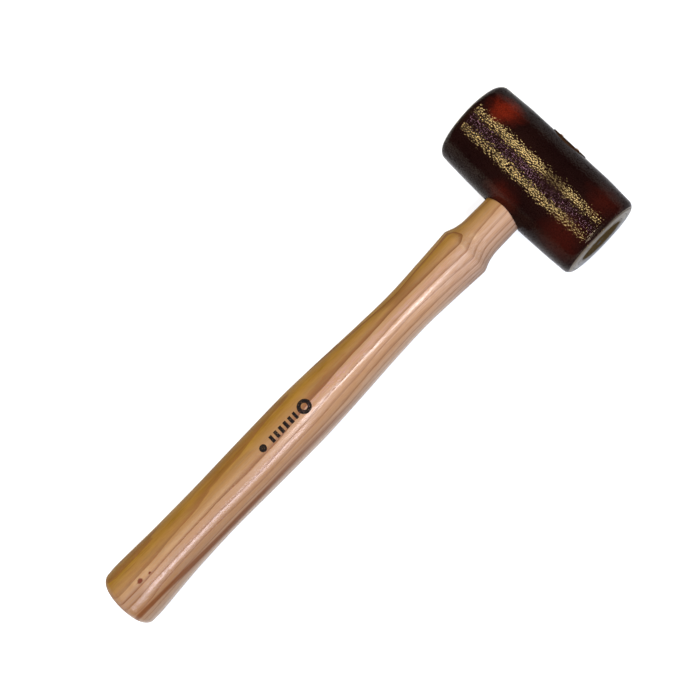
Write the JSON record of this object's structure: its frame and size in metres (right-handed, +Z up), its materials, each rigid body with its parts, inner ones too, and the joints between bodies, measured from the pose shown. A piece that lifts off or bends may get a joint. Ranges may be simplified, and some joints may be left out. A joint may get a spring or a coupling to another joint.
{
  "type": "rawhide mallet",
  "caption": "Mallet with a turned ash handle through a barrel head coiled from lacquered rawhide, held by a wooden wedge and steel cross wedges.",
  "frame": {"origin": "centre of the bottom of the box around the whole mallet as it lies on a flat surface", "axes": "+X along the handle from butt to head, raised 1.6 degrees because barrel and grip both touch the surface; +Y along the barrel; +Z up"},
  "size_m": [0.3312, 0.0926, 0.0504],
  "materials": {
    "ash": "clear satin lacquer over open-grained ash",
    "lacquered_hide": "pebbled rawhide under glossy oxblood shellac",
    "wedge_wood": "raw end grain",
    "steel": "dull, slightly tarnished"
  },
  "bodies": {
    "root": {"handle": "ash", "hide_core": "lacquered_hide", "hide_outer_wrap": "lacquered_hide", "wooden_wedge": "wedge_wood", "steel_wedge_near": "steel", "steel_wedge_far": "steel", "seam_nail_1": "steel", "seam_nail_2": "steel", "seam_nail_3": "steel", "seam_nail_4": "steel"}
  },
  "joints": []
}
